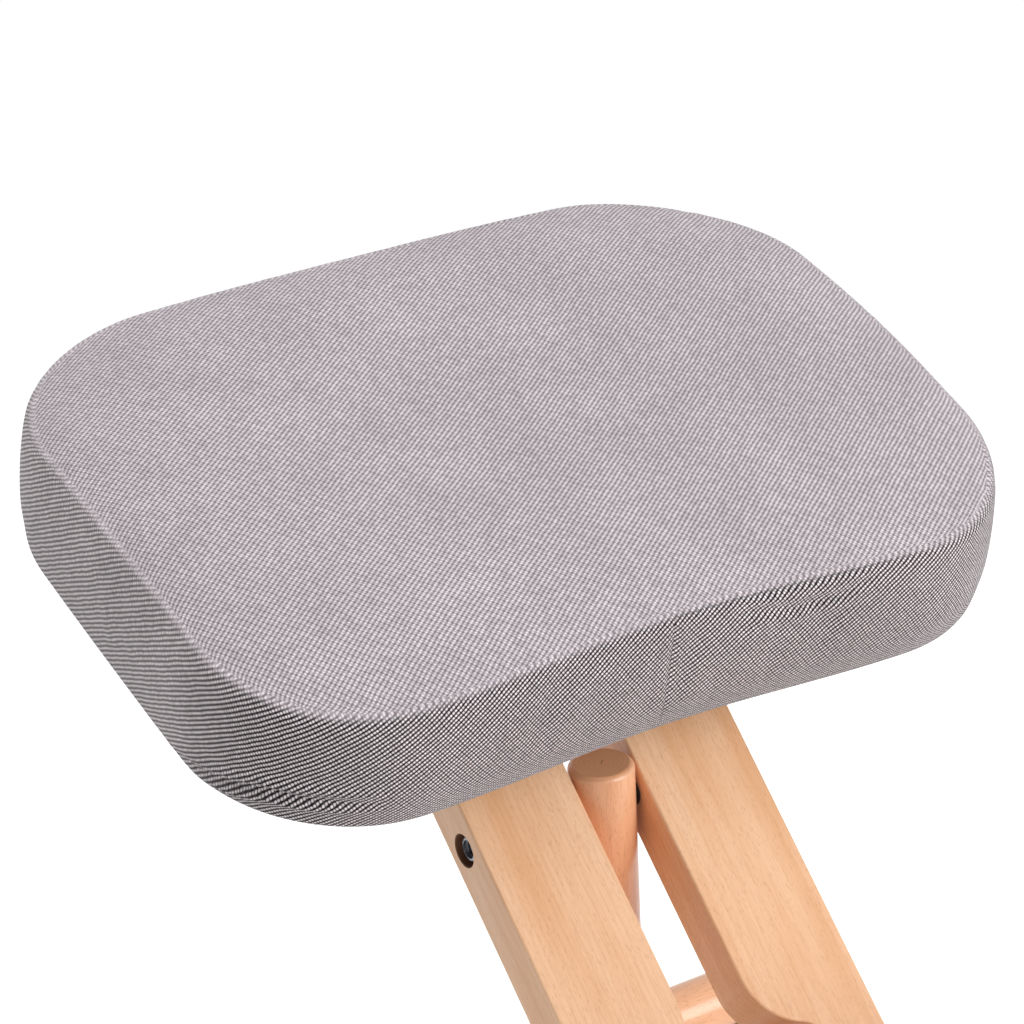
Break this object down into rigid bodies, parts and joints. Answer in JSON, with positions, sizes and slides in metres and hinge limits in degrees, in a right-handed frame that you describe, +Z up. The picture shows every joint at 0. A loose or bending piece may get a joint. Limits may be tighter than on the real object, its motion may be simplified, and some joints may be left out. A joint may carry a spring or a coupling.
{
  "type": "kneeling chair",
  "caption": "Wooden kneeling chair: a tilted padded seat and a lower knee pad on two crossed pairs of beech rails, with a pivoting post between them for height.",
  "frame": {"origin": "on the floor below the middle of the chair's length and width", "axes": "+Z up, -Y the way the sitter faces, +X across the chair"},
  "size_m": [0.498, 0.7224, 0.5692],
  "materials": {
    "beech_rail": "satin lacquered beech",
    "beech_round": "satin lacquered beech",
    "plywood": "raw plywood",
    "woven_cover": "two-tone basket weave",
    "lining": "thin non-woven cloth",
    "zinc_steel": "bright zinc",
    "nylon": "moulded nylon",
    "rubber_foot": "moulded rubber",
    "knob_plastic": "moulded plastic"
  },
  "bodies": {
    "knee_frame": {"knee_cushion": "woven_cover", "knee_board": "plywood", "knee_dust_cover": "lining", "knee_tee_nut_1": "zinc_steel", "knee_tee_nut_2": "zinc_steel", "knee_tee_nut_3": "zinc_steel", "knee_tee_nut_4": "zinc_steel", "knee_bolt_1": "zinc_steel", "knee_bolt_2": "zinc_steel", "knee_bolt_3": "zinc_steel", "knee_bolt_4": "zinc_steel", "knee_rail_left": "beech_rail", "cross_pivot_washer_left": "nylon", "knee_rail_right": "beech_rail", "cross_pivot_washer_right": "nylon", "cross_pivot_sleeve": "zinc_steel", "rear_bar_bolt_left": "zinc_steel", "rear_barrel_nut_left": "zinc_steel", "rear_bar_bolt_right": "zinc_steel", "rear_barrel_nut_right": "zinc_steel", "rear_foot_bar": "beech_round", "rear_glide_left": "rubber_foot", "rear_glide_right": "rubber_foot"},
    "seat_frame": {"seat_rail_left": "beech_rail", "seat_rail_right": "beech_rail", "top_pivot_bolt": "zinc_steel", "top_pivot_nut": "zinc_steel", "cross_pivot_bolt": "zinc_steel", "cross_pivot_nut": "zinc_steel", "front_bar_bolt_left": "zinc_steel", "front_barrel_nut_left": "zinc_steel", "front_bar_bolt_right": "zinc_steel", "front_barrel_nut_right": "zinc_steel", "seat_cushion": "woven_cover", "seat_board": "plywood", "seat_dust_cover": "lining", "seat_tee_nut_1": "zinc_steel", "seat_tee_nut_2": "zinc_steel", "seat_tee_nut_3": "zinc_steel", "seat_tee_nut_4": "zinc_steel", "seat_bolt_1": "zinc_steel", "seat_bolt_2": "zinc_steel", "seat_bolt_3": "zinc_steel", "seat_bolt_4": "zinc_steel", "front_foot_bar": "beech_round", "front_glide_left": "rubber_foot", "front_glide_right": "rubber_foot"},
    "post": {"post": "beech_round", "top_pivot_spacer_left": "nylon", "top_pivot_spacer_right": "nylon", "clamp_spacer_left": "nylon", "clamp_spacer_right": "nylon", "clamp_washer_left": "zinc_steel", "clamp_washer_right": "zinc_steel", "clamp_bolt": "zinc_steel"},
    "knob": {"clamp_knob": "knob_plastic"}
  },
  "joints": [
    {"name": "seat_height", "type": "hinge", "parent": "knee_frame", "child": "seat_frame", "pos_m": [0, -0.09433, 0.15562], "axis": [1, 0, 0], "range_deg": [-4.5, 4.5]},
    {"name": "post_swing", "type": "hinge", "parent": "seat_frame", "child": "post", "pos_m": [0, 0.0873, 0.325], "axis": [1, 0, 0], "range_deg": [-10.9, 10.9]},
    {"name": "clamp_knob_turn", "type": "hinge", "parent": "post", "child": "knob", "pos_m": [-0.0675, 0.0873, 0.08951], "axis": [-1, 0, 0], "range_deg": [0, 360]}
  ],
  "couplings": [
    {"joint": "post_swing", "follows": "seat_height", "ratio": -2.4013}
  ]
}
